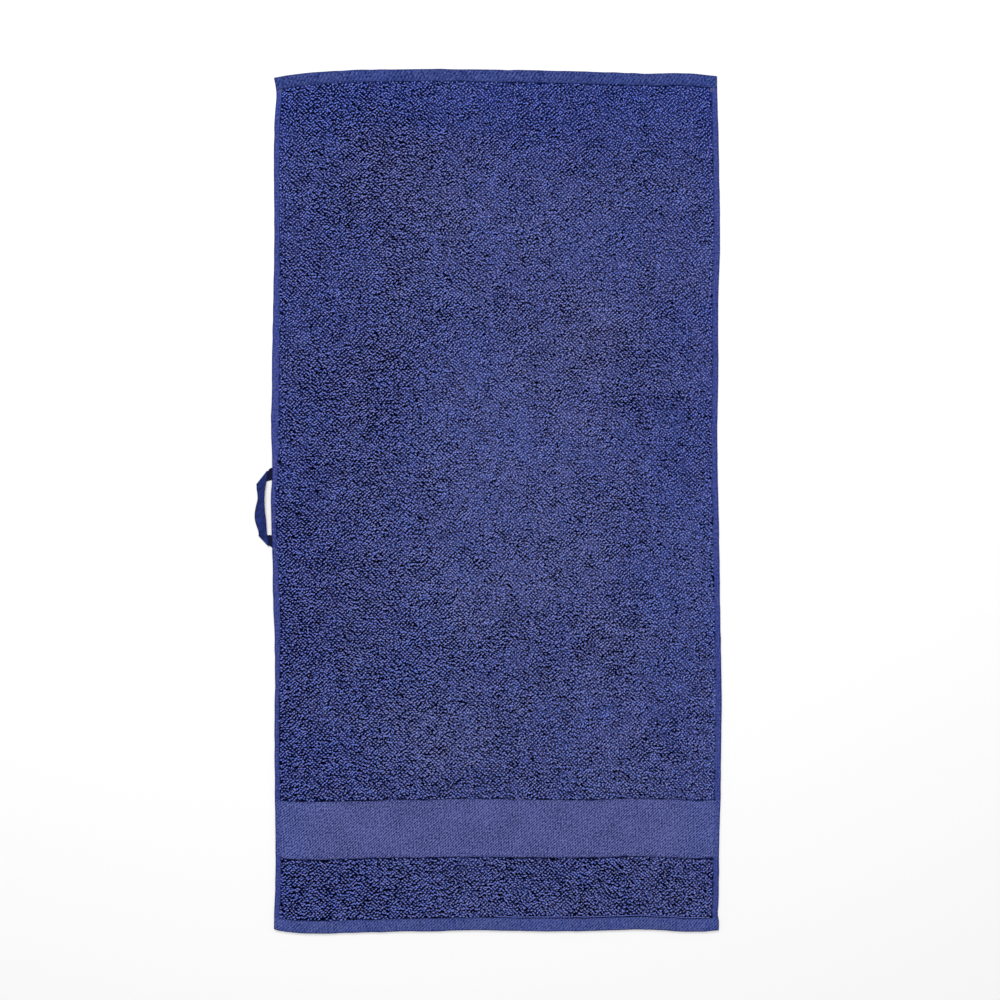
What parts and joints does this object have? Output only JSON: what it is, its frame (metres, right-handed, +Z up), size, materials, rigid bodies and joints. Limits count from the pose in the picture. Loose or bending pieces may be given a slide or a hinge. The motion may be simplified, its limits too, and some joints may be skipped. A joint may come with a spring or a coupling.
{
  "type": "hand towel",
  "caption": "Flat terry hand towel with hemmed ends, selvage sides, a flat woven band near one end and a tape hanging loop at one side.",
  "frame": {"origin": "on the surface that the towel lies on, under the middle of the cloth's underside", "axes": "+Z up, out of the face that shows; +Y along the towel's length, towards its plain end and away from the flat woven band; +X across its width, away from the hanging loop"},
  "size_m": [0.5243, 0.9709, 0.0078],
  "materials": {
    "terry_cotton": "matt looped cotton pile in dark royal blue",
    "loop_tape": "flat twill tape, a little darker than the cloth"
  },
  "bodies": {
    "root": {"towel": "terry_cotton", "hanging_loop": "loop_tape"}
  },
  "joints": []
}
